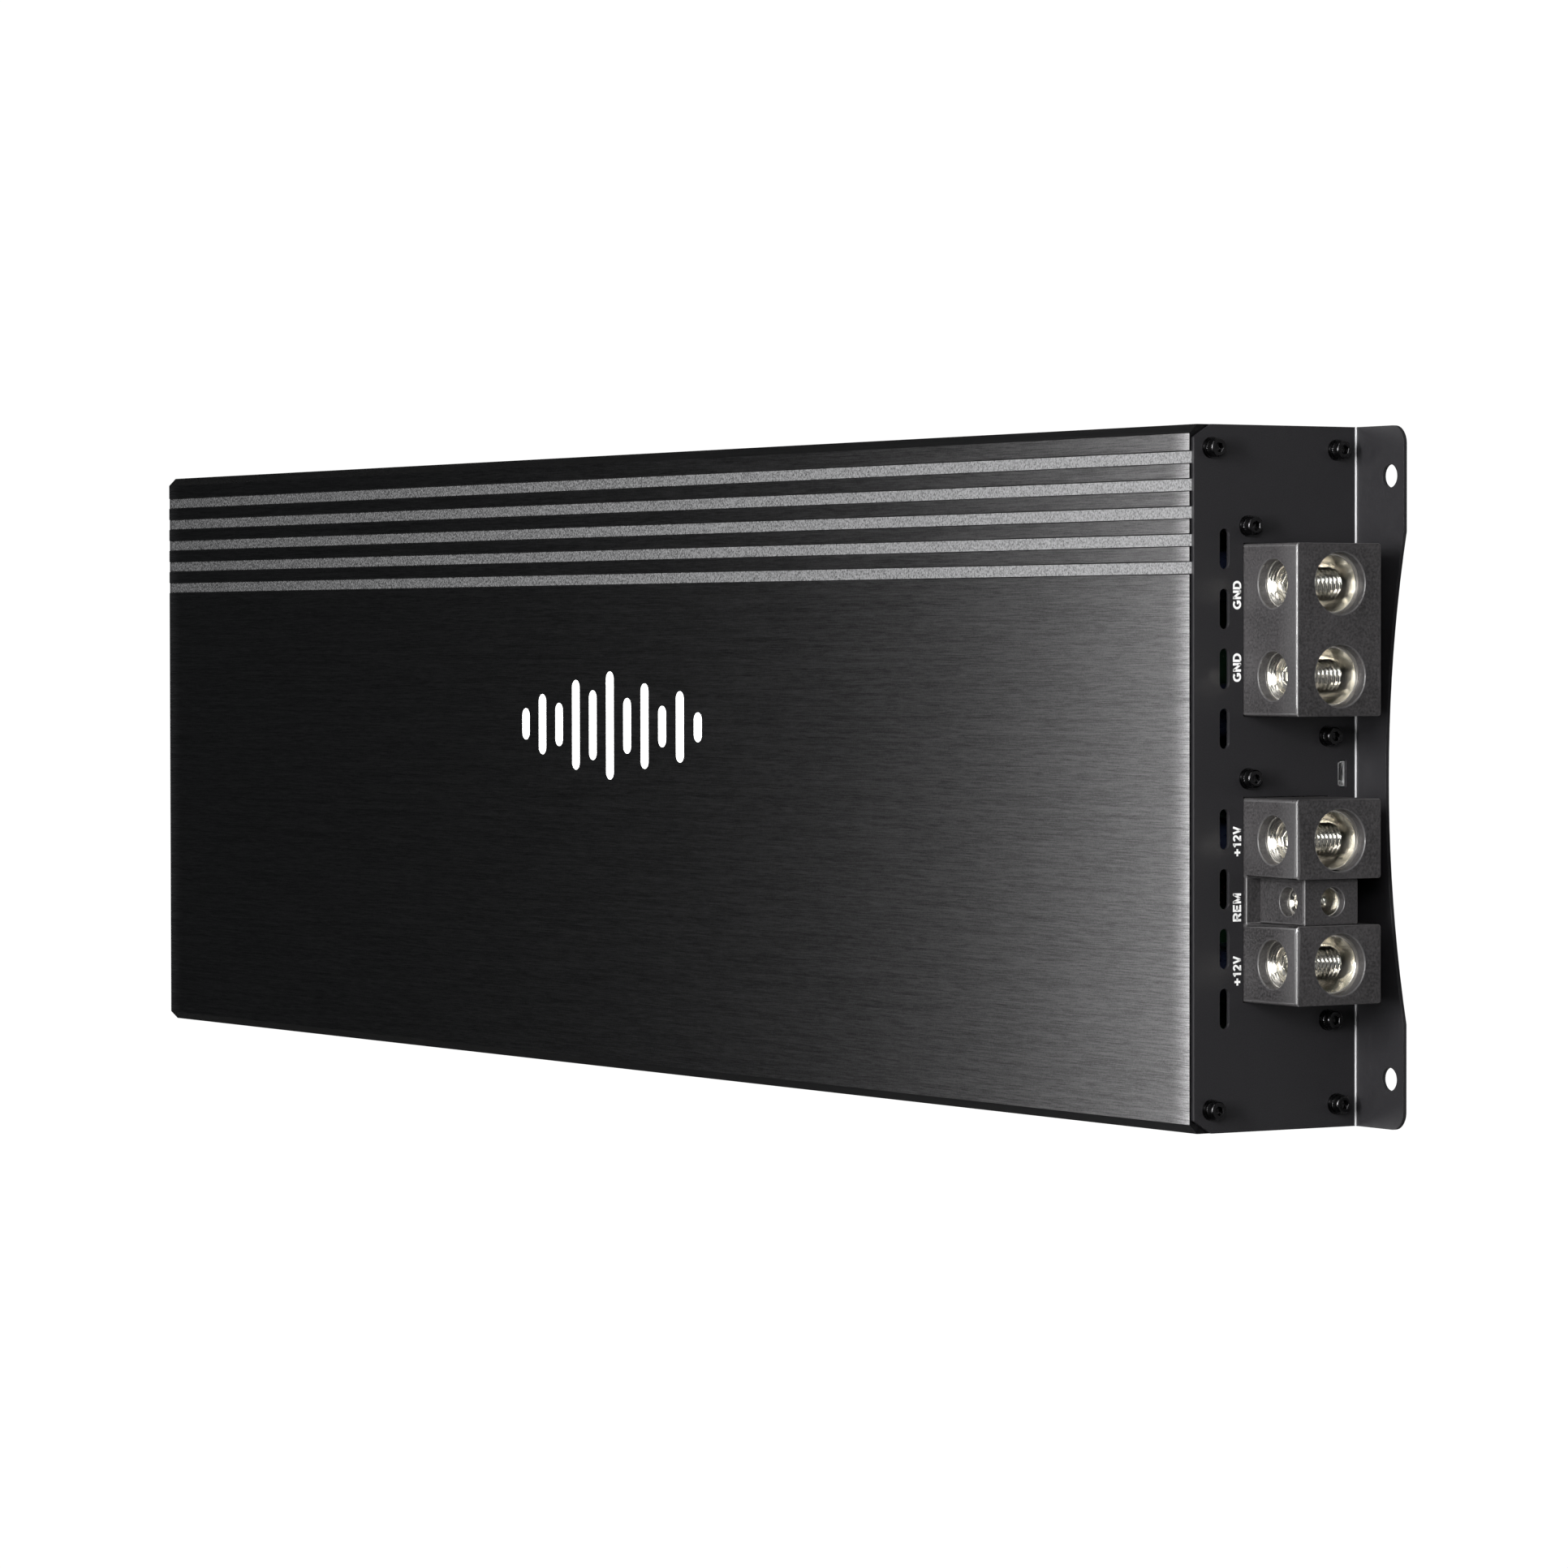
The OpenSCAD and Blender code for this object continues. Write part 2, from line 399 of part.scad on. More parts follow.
module lowpass_knob() color([0.06, 0.06, 0.06]) mirror([1, 0, 0]) knob(knob_y[1]);
module subsonic_knob() color([0.06, 0.06, 0.06]) mirror([1, 0, 0]) knob(knob_y[2]);
module boost_knob() color([0.06, 0.06, 0.06]) mirror([1, 0, 0]) knob(knob_y[3]);
module switch_bodies() color([0.5, 0.5, 0.52]) mirror([1, 0, 0]) for (p = sw_pos) difference() {
  box([cb_x, p[0] - 6, p[1] - 3.5], [hx - 0.2, p[0] + 6, p[1] + 3.5]);
  box([hx - 8, p[0] - 4.1, p[1] - 1.7], [hx + 1, p[0] + 4.1, p[1] + 1.7]);
}
module slider(p) { box([hx - 6, p[0] - 3.4, p[1] - 1.5], [hx - 1.5, p[0] + 0.4, p[1] + 1.5]); box([hx - 2, p[0] - 2.9, p[1] - 1.3], [xo + 2.2, p[0] - 0.1, p[1] + 1.3]); }
module phase_slider() color([0.85, 0.85, 0.85]) mirror([1, 0, 0]) union() slider(sw_pos[0]);
module link_slider() color([0.85, 0.85, 0.85]) mirror([1, 0, 0]) union() slider(sw_pos[1]);
module led(p) { union() { xcyl(cb_x + 4, xo + 0.3, p[0], p[1], 3); translate([xo + 0.3, p[0], p[1]]) rotate([0, 90, 0]) cylinder(d1 = 3, d2 = 1.8, h = 0.7); xcyl(cb_x, cb_x + 4.5, p[0], p[1], 3.9); } }
module power_led() color([0.15, 0.35, 0.95]) mirror([1, 0, 0]) led(led_pos[0]);
module protect_led() color([0.85, 0.08, 0.05]) mirror([1, 0, 0]) led(led_pos[1]);

// ---------- electronics ----------
clamp_x_pos = [-200, -125, -50, 50, 125, 200];
clamp_z = 22;
tr_x = [for (i = [0:17]) -212.5 + 25*i];
module main_board() color([0.04, 0.28, 0.12]) difference() {
  box([pcb_x0, -pcb_y, pcb_z0], [pcb_x1, pcb_y, pcb_z1]);
  for (p = spacer_pos) zcyl(p[0], p[1], 0, 8, 3.3);
  for (y = concat(gnd_y, pos_y), d = [-6, 6]) zcyl(hx - 9, y + d, 0, 8, 4.3);
  for (d = [-2, 2]) zcyl(hx - 7.5, rem_y + d, 0, 8, 1.9);
  for (y0 = [-82.1, -47.7], d = [10, 20]) zcyl(-(hx - 31.5), y0 + d, 0, 8, 3.7);
}
module board_spacers() color([0.9, 0.9, 0.85]) for (p = spacer_pos) translate([p[0], p[1], base_t]) ring(6, 3.3, pcb_z0 - base_t);
module board_screws() color([0.6, 0.6, 0.62]) for (p = spacer_pos) translate([p[0], p[1], 0]) union() {
  translate([0, 0, 0.2]) cylinder(d = 3, h = pcb_z1); translate([0, 0, pcb_z1]) cylinder(d = 5.5, h = 2); }
tf_x = [215, 130, 45];
module transformer_cores() color([0.2, 0.2, 0.22]) for (x = tf_x) translate([x, 0, 8]) ring(46, 24, 22);
module turns(n, r0, r1, h, t) { for (i = [0:n - 1]) rotate(i*360/n) difference() {
  translate([r0 - t - 0.3, -t/2, -t - 0.3]) cube([r1 - r0 + 2*t + 0.6, t, h + 2*t + 0.6]);
  translate([r0 - 0.3, -t, -0.3]) cube([r1 - r0 + 0.6, 2*t, h + 0.6]); } }
module transformer_windings() color([0.7, 0.35, 0.15]) for (x = tf_x) translate([x, 0, 8]) turns(22, 12, 23, 22, 2.2);
module output_inductor_cores() color([0.75, 0.7, 0.2]) for (y = [-42, 42]) translate([-225, y, 8.5]) ring(42, 22, 26);
module output_inductor_windings() color([0.7, 0.35, 0.15]) for (y = [-42, 42]) translate([-225, y, 8.5]) turns(18, 11, 21, 26, 2.4);
module can(x, y, d, h) { translate([x, y, pcb_z1]) union() { cylinder(d = d, h = h - 1); translate([0, 0, h - 1]) cylinder(d1 = d, d2 = d - 2, h = 1); } }
module supply_capacitors() color([0.05, 0.06, 0.1]) for (i = [0:3], j = [-1.5, -0.5, 0.5, 1.5]) can(262 + 17.5*i, 40*j, 16, 35);
module rail_capacitors() color([0.05, 0.06, 0.1]) for (i = [0:3], j = [-1, 0, 1]) can(-30 - 38*i, 38*j, 30, 42);
module tr(x, s) { y = hy - side_t; translate([x, 0, 0]) mirror([0, s < 0 ? 1 : 0, 0]) union() {
  box([-5, y - 4.9, 15], [5, y - 0.3, 30]);
  for (d = [-2.54, 0, 2.54]) { box([d - 0.4, y - 9.5, 13.4], [d + 0.4, y - 2, 14.2]); box([d - 0.4, y - 3, 13.4], [d + 0.4, y - 2.2, 16]); box([d - 0.4, y - 9.5, pcb_z1], [d + 0.4, y - 8.7, 14.2]); } } }
module transistors() color([0.04, 0.04, 0.04]) for (x = tr_x, s = [-1, 1]) tr(x, s);
module thermal_pads() color([0.6, 0.75, 0.8]) for (s = [-1, 1]) difference() {
  box([-225, s > 0 ? hy - side_t - 0.3 : -hy + side_t, 13], [225, s > 0 ? hy - side_t : -hy + side_t + 0.3, 32]);
  for (x = clamp_x_pos) translate([x, s*(hy - side_t - 2), clamp_z]) rotate([s*-90, 0, 0]) cylinder(d = 4, h = 4); }
module clamp_bars() color([0.7, 0.7, 0.72]) for (s = [-1, 1]) difference() {
  box([-225, s > 0 ? hy - side_t - 10.9 : -hy + side_t + 4.9, 17], [225, s > 0 ? hy - side_t - 4.9 : -hy + side_t + 10.9, 27]);
  for (x = clamp_x_pos) translate([x, s*(hy - side_t - 15), clamp_z]) rotate([s*-90, 0, 0]) cylinder(d = 3.3, h = 12); }
module clamp_screws() color([0.6, 0.6, 0.62]) for (s = [-1, 1], x = clamp_x_pos) translate([x, s*(hy - side_t - 10.9), clamp_z]) rotate([s*-90, 0, 0]) difference() {
  union() { cylinder(d = 3, h = 14); translate([0, 0, -3]) cylinder(d = 5.5, h = 3); }
  translate([0, 0, -4]) cylinder(d = 2.5/cos(30), h = 2.5, $fn = 6); }
module driver_board() color([0.04, 0.28, 0.12]) union() { box([-196, -60, pcb_z1], [-194.4, 60, 38]);
  for (j = [-2:2]) box([-194.4, j*22 - 5, 16], [-192.4, j*22 + 5, 26]); }
module signal_ribbon() color([0.75, 0.75, 0.75]) translate([0, 22, 0]) rotate([90, 0, 0]) linear_extrude(20)
  polygon([[-hx + 18.6, 12], [-hx + 18.6, 14], [-hx + 33, 14], [-hx + 40, 7], [-hx + 40, pcb_z1], [-hx + 39, pcb_z1], [-hx + 39, 6.6], [-hx + 32.6, 13], [-hx + 19.7, 13], [-hx + 19.7, 12]]);

heatsink_shell();
base_plate();
power_end_panel();
signal_end_panel();
panel_screws();
panel_washers();
panel_spring_washers();
base_plate_screws();
emblem_lens();
emblem_led_board();
gnd_terminal_housing();
gnd_terminal_block();
positive_terminal_housing();
positive_terminal_blocks();
remote_terminal_housing();
remote_terminal_block();
gnd_set_screw_1();
gnd_set_screw_2();
positive_set_screw_1();
positive_set_screw_2();
remote_set_screw();
usb_port_shell();
usb_port_tongue();
speaker_terminal_housing();
speaker_terminal_blocks();
speaker_set_screw_1();
speaker_set_screw_2();
speaker_set_screw_3();
speaker_set_screw_4();
rca_jack_body();
rca_jack_shells();
rca_inserts_white();
rca_inserts_red();
level_remote_port();
control_board();
control_pots();
level_knob();
lowpass_knob();
subsonic_knob();
boost_knob();
switch_bodies();
phase_slider();
link_slider();
power_led();
protect_led();
main_board();
board_spacers();
board_screws();
transformer_cores();
transformer_windings();
output_inductor_cores();
output_inductor_windings();
supply_capacitors();
rail_capacitors();
transistors();
thermal_pads();
clamp_bars();
clamp_screws();
driver_board();
signal_ribbon();
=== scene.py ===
import bpy, bmesh, math
from mathutils import Matrix, Vector


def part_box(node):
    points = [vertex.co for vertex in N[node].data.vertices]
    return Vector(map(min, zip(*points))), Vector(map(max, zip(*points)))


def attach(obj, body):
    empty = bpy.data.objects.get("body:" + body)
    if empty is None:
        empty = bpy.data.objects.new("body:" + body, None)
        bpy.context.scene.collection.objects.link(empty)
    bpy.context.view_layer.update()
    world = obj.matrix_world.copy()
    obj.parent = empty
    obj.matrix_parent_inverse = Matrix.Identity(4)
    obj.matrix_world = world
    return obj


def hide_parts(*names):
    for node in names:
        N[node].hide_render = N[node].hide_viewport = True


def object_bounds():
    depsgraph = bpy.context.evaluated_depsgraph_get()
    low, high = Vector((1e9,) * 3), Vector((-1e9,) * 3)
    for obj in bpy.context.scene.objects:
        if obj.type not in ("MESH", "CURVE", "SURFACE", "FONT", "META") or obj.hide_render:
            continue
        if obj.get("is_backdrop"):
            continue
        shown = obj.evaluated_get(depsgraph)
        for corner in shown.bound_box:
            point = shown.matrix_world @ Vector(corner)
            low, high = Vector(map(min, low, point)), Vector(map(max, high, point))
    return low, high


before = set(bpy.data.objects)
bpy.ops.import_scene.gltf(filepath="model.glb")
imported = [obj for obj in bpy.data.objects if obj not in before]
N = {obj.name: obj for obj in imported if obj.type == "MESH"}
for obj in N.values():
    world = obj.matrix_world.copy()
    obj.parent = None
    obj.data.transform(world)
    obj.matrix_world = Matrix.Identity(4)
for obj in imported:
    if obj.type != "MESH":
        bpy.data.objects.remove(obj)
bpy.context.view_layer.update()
scene = bpy.context.scene
MM = 0.001
TAU = 2 * math.pi
XO = 0.3392          # outer face of an end panel
XT = 0.3654          # front face of the terminal covers


# ------------------------------------------------------------------ node helpers
class Mat:
    def __init__(self, name, color, metallic=0.0, rough=0.5, **sockets):
        self.m = bpy.data.materials.new(name)
        self.m.use_nodes = True
        self.nt = self.m.node_tree
        self.b = self.nt.nodes["Principled BSDF"]
        self.b.inputs["Base Color"].default_value = (*color, 1)
        self.b.inputs["Metallic"].default_value = metallic
        self.b.inputs["Roughness"].default_value = rough
        self.m.diffuse_color = (*color, 1)
        for k, v in sockets.items():
            self.b.inputs[k.replace("_", " ")].default_value = v
        self._tc = None

    def add(self, kind, **props):
        n = self.nt.nodes.new(kind)
        for k, v in props.items():
            setattr(n, k, v)
        return n

    def link(self, a, b):
        self.nt.links.new(a, b)

    def tc(self):
        if self._tc is None:
            self._tc = self.add("ShaderNodeTexCoord")
        return self._tc.outputs["Object"]

    def coords(self, scale):
        mp = self.add("ShaderNodeMapping")
        mp.inputs["Scale"].default_value = scale
        self.link(self.tc(), mp.inputs["Vector"])
        return mp.outputs["Vector"]

    def noise(self, scale=(1, 1, 1), detail=3.0, rough=0.55, size=1.0):
        n = self.add("ShaderNodeTexNoise")
        n.inputs["Scale"].default_value = size
        n.inputs["Detail"].default_value = detail
        n.inputs["Roughness"].default_value = rough
        self.link(self.coords(scale), n.inputs["Vector"])
        return n.outputs["Fac"]

    def voronoi(self, scale):
        n = self.add("ShaderNodeTexVoronoi")
        n.inputs["Scale"].default_value = 1.0
        self.link(self.coords(scale), n.inputs["Vector"])
        return n.outputs["Distance"]

    def map(self, fac, lo, hi, a=0.3, b=0.7):
        n = self.add("ShaderNodeMapRange")
        n.inputs["From Min"].default_value = a
        n.inputs["From Max"].default_value = b
        n.inputs["To Min"].default_value = lo
        n.inputs["To Max"].default_value = hi
        self.link(fac, n.inputs["Value"])
        return n.outputs["Result"]

    def math(self, op, a, b):
        n = self.add("ShaderNodeMath", operation=op)
        for i, v in enumerate((a, b)):
            if isinstance(v, (int, float)):
                n.inputs[i].default_value = v
            else:
                self.link(v, n.inputs[i])
        return n.outputs[0]

    def mix(self, fac, a, b):
        n = self.add("ShaderNodeMix", data_type="RGBA")
        self.link(fac, n.inputs["Factor"])
        for key, v in (("A", a), ("B", b)):
            s = [i for i in n.inputs if i.name == key and i.type == "RGBA"][0]
            if isinstance(v, tuple):
                s.default_value = (*v, 1)
            else:
                self.link(v, s)
        return [o for o in n.outputs if o.type == "RGBA"][0]

    def mixf(self, fac, a, b):
        n = self.add("ShaderNodeMix", data_type="FLOAT")
        self.link(fac, n.inputs[0])
        for i, v in ((2, a), (3, b)):
            if isinstance(v, (int, float)):
                n.inputs[i].default_value = v
            else:
                self.link(v, n.inputs[i])
        return n.outputs[0]

    def color(self, out):
        self.link(out, self.b.inputs["Base Color"])

    def rough(self, out):
        self.link(out, self.b.inputs["Roughness"])

    def bump(self, height, strength, distance, under=None):
        n = self.add("ShaderNodeBump")
        n.inputs["Strength"].default_value = strength
        n.inputs["Distance"].default_value = distance
        self.link(height, n.inputs["Height"])
        if under is not None:
            self.link(under, n.inputs["Normal"])
        self.link(n.outputs["Normal"], self.b.inputs["Normal"])
        return n.outputs["Normal"]


def tint(c, k):
    return tuple(max(0.0, min(1.0, v * k)) for v in c)


def moulded(name, color, rough=0.55, grain=1500.0, depth=0.00006, coat=0.0, speckle=0.16, level=0.5):
    """Moulded plastic: fine spark-eroded grain, slight tone drift."""
    m = Mat(name, color, 0.0, rough)
    m.b.inputs["Specular IOR Level"].default_value = level
    m.b.inputs["Coat Weight"].default_value = coat
    drift = m.noise((35, 35, 35), 3)
    fine = m.noise((grain,) * 3, 3, 0.6)
    mottle = m.math("ADD", m.math("MULTIPLY", drift, 0.35), m.math("MULTIPLY", fine, 0.65))
    m.color(m.mix(m.map(mottle, 0, 1, 0.36, 0.64), tint(color, 1 - speckle), tint(color, 1 + speckle)))
    m.rough(m.map(fine, rough - 0.08, rough + 0.1))
    m.bump(fine, 0.5, depth)
    return m.m


def plated(name, color, rough=0.2, scale=(900, 900, 90), depth=0.00001):
    """Plated metal: bright, faint machining lines, slight stain."""
    m = Mat(name, color, 1.0, rough)
    stain = m.noise((160, 160, 160), 4)
    m.color(m.mix(m.map(stain, 0, 1), tint(color, 0.80), tint(color, 1.08)))
    lines = m.noise(scale, 3)
    m.rough(m.map(lines, rough * 0.7, rough * 1.5))
    m.bump(lines, 0.4, depth)
    return m.m


def bored(name, color, rough):
    """Plated block with turning marks: they run round each bore, so its wall scatters light along the bore's axis."""
    m = Mat(name, color, 1.0, rough, Anisotropic=0.95)
    stain = m.noise((160, 160, 160), 4)
    m.color(m.mix(m.map(stain, 0, 1), tint(color, 0.86), tint(color, 1.04)))
    marks = m.noise((1900, 60, 60), 2)
    m.rough(m.map(marks, rough * 0.85, rough * 1.2))
    m.bump(marks, 0.3, 0.000006)
    geo = m.add("ShaderNodeNewGeometry")
    nor = m.add("ShaderNodeSeparateXYZ"); m.link(geo.outputs["True Normal"], nor.inputs[0])
    end_on = m.map(m.math("ABSOLUTE", nor.outputs["X"], 0), 0, 1, 0.70, 0.72)
    t = m.add("ShaderNodeCombineXYZ")
    m.link(m.mixf(end_on, 1.0, 0.0), t.inputs[0]); m.link(end_on, t.inputs[2])
    m.link(t.outputs[0], m.b.inputs["Tangent"])
    return m.m


def painted(name, color, rough=0.42, bend_highlight=None):
    """Powder coat: low orange peel and fine speckle, with a painted highlight: a light grey line of colour along the
    inside of the flange fold.
    """
    m = Mat(name, color, 0.0, rough)
    m.b.inputs["Specular IOR Level"].default_value = 0.36
    peel = m.noise((420, 420, 420), 2)
    speck = m.noise((2600, 2600, 2600), 2)
    coat = m.mix(m.map(speck, 0, 1), tint(color, 0.8), tint(color, 1.25))
    if bend_highlight:
        # painted highlight: a thin strip along the inside of the flange fold takes the given light grey, standing in
        # for a reflected lamp
        pos = m.add("ShaderNodeSeparateXYZ"); m.link(m.tc(), pos.inputs[0])
        out = m.math("ABSOLUTE", pos.outputs["X"], 0)
        run = m.math("ADD", m.math("SUBTRACT", out, 0.0), m.math("MULTIPLY", pos.outputs["Z"], -1.0))
        line = m.math("MULTIPLY", m.map(run, 0, 1, XO - 0.00185, XO - 0.00165), m.map(run, 1, 0, XO - 0.00115, XO - 0.00095))
        line = m.math("MULTIPLY", line, m.map(pos.outputs["Z"], 1, 0, 0.0021, 0.0024))
        line = m.math("MULTIPLY", line, m.map(out, 0, 1, XO + 0.00005, XO + 0.00015))
        coat = m.mix(line, coat, bend_highlight)
    m.color(coat)
    m.rough(m.map(peel, rough - 0.05, rough + 0.07))
    n = m.bump(peel, 0.25, 0.00003)
    m.bump(speck, 0.25, 0.00001, n)
    return m.m


def circuit(name, base, trace, pad):
    """Solder mask over traces, with small tinned pads."""
    m = Mat(name, base, 0.0, 0.32, Coat_Weight=0.25)
    v = m.add("ShaderNodeTexVoronoi", feature="F1", distance="MANHATTAN")
    v.inputs["Scale"].default_value = 1.0
    m.link(m.coords((120, 120, 120)), v.inputs["Vector"])
    lines = m.map(v.outputs["Distance"], 0, 1, 0.52, 0.56)
    dots = m.map(m.voronoi((260, 260, 260)), 1, 0, 0.10, 0.14)
    m.color(m.mix(dots, m.mix(lines, base, trace), pad))
    m.bump(lines, 0.3, 0.00003)
    return m.m


# ------------------------------------------------------------------ materials
def shell_material():
    """Brushed black anodising on the top, blasted grey in the grooves, extruded satin on the sides; a painted highlight
    lightens the top face towards each end.
    """
    m = Mat("anodised_brushed", (0.16, 0.16, 0.165), 1.0, 0.30)
    geo = m.add("ShaderNodeNewGeometry")
    pos = m.add("ShaderNodeSeparateXYZ"); m.link(m.tc(), pos.inputs[0])
    nor = m.add("ShaderNodeSeparateXYZ"); m.link(geo.outputs["Normal"], nor.inputs[0])
    up = m.map(nor.outputs["Z"], 0, 1, 0.80, 0.92)
    low = m.map(pos.outputs["Z"], 1, 0, 0.06150, 0.06175)
    groove = m.math("MULTIPLY", m.math("MULTIPLY", up, low), m.map(pos.outputs["Z"], 0, 1, 0.0600, 0.0605))
    # painted highlight: the upward faces are lightened, up to four times their colour, towards each end of the shell,
    # standing in for a light streak
    end_highlight_mask = m.map(m.math("ABSOLUTE", pos.outputs["X"], 0), 0, 1, 0.3270, 0.3378)
    fine = m.noise((130, 5200, 5200), 3, 0.65)
    broad = m.noise((16, 900, 900), 3, 0.6)
    speck = m.noise((2300, 2300, 2300), 2, 0.6)
    brush = m.math("ADD", m.math("ADD", m.math("MULTIPLY", fine, 0.55), m.math("MULTIPLY", broad, 0.20)), m.math("MULTIPLY", speck, 0.25))
    grain = m.noise((1500, 1350, 1500), 2, 0.6)
    worn = m.map(brush, 0, 1, 0.40, 0.60)
    face = m.mix(worn, tint(FACE, 0.60), tint(FACE, 1.40))
    painted_end_highlight = m.mix(worn, tint(FACE, 1.4), tint(FACE, 4.0))
    face = m.mix(m.math("MULTIPLY", m.math("MULTIPLY", end_highlight_mask, end_highlight_mask), up), face, painted_end_highlight)
    sand = m.mix(m.map(grain, 0, 1, 0.36, 0.64), tint(SAND, 0.58), tint(SAND, 1.42))
    side = m.mix(m.map(m.noise((3, 500, 500), 3), 0, 1), (0.030, 0.030, 0.032), (0.055, 0.055, 0.057))
    m.color(m.mix(groove, m.mix(up, side, face), sand))
    flat = m.map(brush, FACE_ROUGH - 0.02, FACE_ROUGH + 0.02, 0.40, 0.60)
    m.rough(m.mixf(groove, flat, m.map(grain, SAND_ROUGH - 0.05, SAND_ROUGH + 0.07)))
    m.link(m.mixf(groove, 1.0, 0.0), m.b.inputs["Anisotropic"])
    t = m.add("ShaderNodeCombineXYZ"); t.inputs[1].default_value = 1.0
    m.link(t.outputs[0], m.b.inputs["Tangent"])
    m.bump(m.mixf(groove, brush, m.math("MULTIPLY", grain, 1.8)), 0.35, 0.00003)
    return m.m


FACE, FACE_ROUGH = (0.150, 0.148, 0.150), 0.305
SAND, SAND_ROUGH = (0.22, 0.22, 0.223), 0.31
M = {}
M["shell"] = shell_material()
# the last colour is a painted highlight along the inside of the flange fold
M["panel"] = painted("powder_coat_black", (0.0145, 0.014, 0.0155), 0.40, (0.42, 0.42, 0.43))
M["base"] = painted("powder_coat_base", (0.030, 0.030, 0.032), 0.5)
M["housing"] = moulded("terminal_plastic", (0.029, 0.0272, 0.0282), 0.50, 1350, 0.00012, speckle=0.60)
# housing edges: the lighter colour is a painted highlight; the lower roughness and higher specular level are a real
# polished edge
M["housing_edge_painted_highlight"] = moulded("terminal_plastic_edge_painted_highlight", (0.056, 0.054, 0.055), 0.33, 1150, 0.00003, level=0.8)
M["block"] = bored("nickel_plated_block", (0.96, 0.925, 0.85), 0.20)
M["screw"] = plated("nickel_plated_screw", (0.97, 0.95, 0.89), 0.14, (700, 700, 1500))
M["black_screw"] = plated("black_oxide", (0.055, 0.054, 0.056), 0.20, (900, 900, 900))
M["steel"] = plated("bright_steel", (0.66, 0.66, 0.68), 0.26, (700, 700, 700))
M["port_steel"] = plated("port_shell_steel", (0.95, 0.95, 0.95), 0.42, (500, 500, 500), 0.000002)
M["gilt"] = plated("gold_plate", (0.86, 0.66, 0.27), 0.18, (90, 900, 900))
M["black"] = moulded("black_plastic", (0.020, 0.020, 0.021), 0.42, 1300, 0.00004)
M["knob"] = moulded("knob_plastic", (0.028, 0.028, 0.029), 0.48, 1700, 0.00005)
M["white"] = moulded("white_plastic", (0.80, 0.80, 0.77), 0.34, 900, 0.00002)
M["red"] = moulded("red_plastic", (0.55, 0.028, 0.024), 0.34, 900, 0.00002)
M["nylon"] = moulded("nylon", (0.74, 0.72, 0.64), 0.5, 900, 0.00003)
M["pcb"] = circuit("circuit_green", (0.012, 0.085, 0.035), (0.028, 0.16, 0.065), (0.62, 0.60, 0.52))
M["pcb_white"] = circuit("circuit_white", (0.72, 0.73, 0.71), (0.80, 0.80, 0.77), (0.66, 0.64, 0.56))
M["ferrite"] = moulded("ferrite", (0.045, 0.045, 0.048), 0.6, 700, 0.00010)
M["core_yellow"] = moulded("painted_core", (0.60, 0.48, 0.06), 0.45, 500, 0.00006, 0.3)
M["copper"] = plated("enamelled_copper", (0.72, 0.27, 0.10), 0.24, (500, 500, 500))
M["sleeve"] = moulded("capacitor_sleeve", (0.020, 0.026, 0.055), 0.3, 300, 0.00003, 0.4)
M["pad"] = moulded("silicone_pad", (0.36, 0.50, 0.56), 0.7, 800, 0.00005)
M["alu"] = plated("bare_aluminium", (0.72, 0.72, 0.74), 0.32, (30, 1200, 1200))
M["ribbon"] = moulded("ribbon_cable", (0.50, 0.50, 0.51), 0.5, 600, 0.00004)


def glowing(name, color, strength, rough=0.25):
    m = Mat(name, color, 0.0, rough)
    m.b.inputs["Emission Color"].default_value = (*color, 1)
    m.b.inputs["Emission Strength"].default_value = strength
    f = m.noise((600, 600, 600), 2)
    m.color(m.mix(m.map(f, 0, 1), tint(color, 0.94), color))
    m.bump(f, 0.2, 0.00001)
    return m.m


M["lens"] = glowing("emblem_diffuser", (0.96, 0.96, 0.95), 0.9, 0.35)
M["led_blue"] = glowing("indicator_blue", (0.06, 0.22, 0.90), 0.6)
M["led_red"] = glowing("indicator_red", (0.55, 0.03, 0.02), 0.05)
M["ink"] = moulded("white_print", (0.86, 0.86, 0.85), 0.5, 1800, 0.00001)

ASSIGN = {
    "shell": ["heatsink_shell"], "panel": ["power_end_panel", "signal_end_panel"], "base": ["base_plate"],
    "housing": ["gnd_terminal_housing", "positive_terminal_housing", "remote_terminal_housing", "speaker_terminal_housing"],
    "block": ["gnd_terminal_block", "positive_terminal_blocks", "remote_terminal_block", "speaker_terminal_blocks"],
    "screw": [n for n in N if "set_screw" in n],
    "black_screw": ["panel_screws", "panel_washers", "panel_spring_washers", "base_plate_screws"],
    "port_steel": ["usb_port_shell"], "steel": ["switch_bodies", "board_screws", "clamp_screws"], "gilt": ["rca_jack_shells"],
    "black": ["usb_port_tongue", "rca_jack_body", "level_remote_port", "control_pots", "transistors"],
    "knob": ["level_knob", "lowpass_knob", "subsonic_knob", "boost_knob"],
    "white": ["rca_inserts_white", "phase_slider", "link_slider"], "red": ["rca_inserts_red"], "lens": ["emblem_lens"],
    "led_blue": ["power_led"], "led_red": ["protect_led"], "pcb": ["main_board", "control_board", "driver_board"],
    "pcb_white": ["emblem_led_board"], "ferrite": ["transformer_cores"], "core_yellow": ["output_inductor_cores"],
    "copper": ["transformer_windings", "output_inductor_windings"], "sleeve": ["supply_capacitors", "rail_capacitors"],
    "pad": ["thermal_pads"], "nylon": ["board_spacers"], "alu": ["clamp_bars"], "ribbon": ["signal_ribbon"],
}
done = set()
for key, names in ASSIGN.items():
    for n in names:
        o = N[n]
        o.data.materials.clear()
        o.data.materials.append(M[key])
        done.add(n)
left = sorted(set(N) - done)
if left:
    raise SystemExit("no material for " + ", ".join(left))


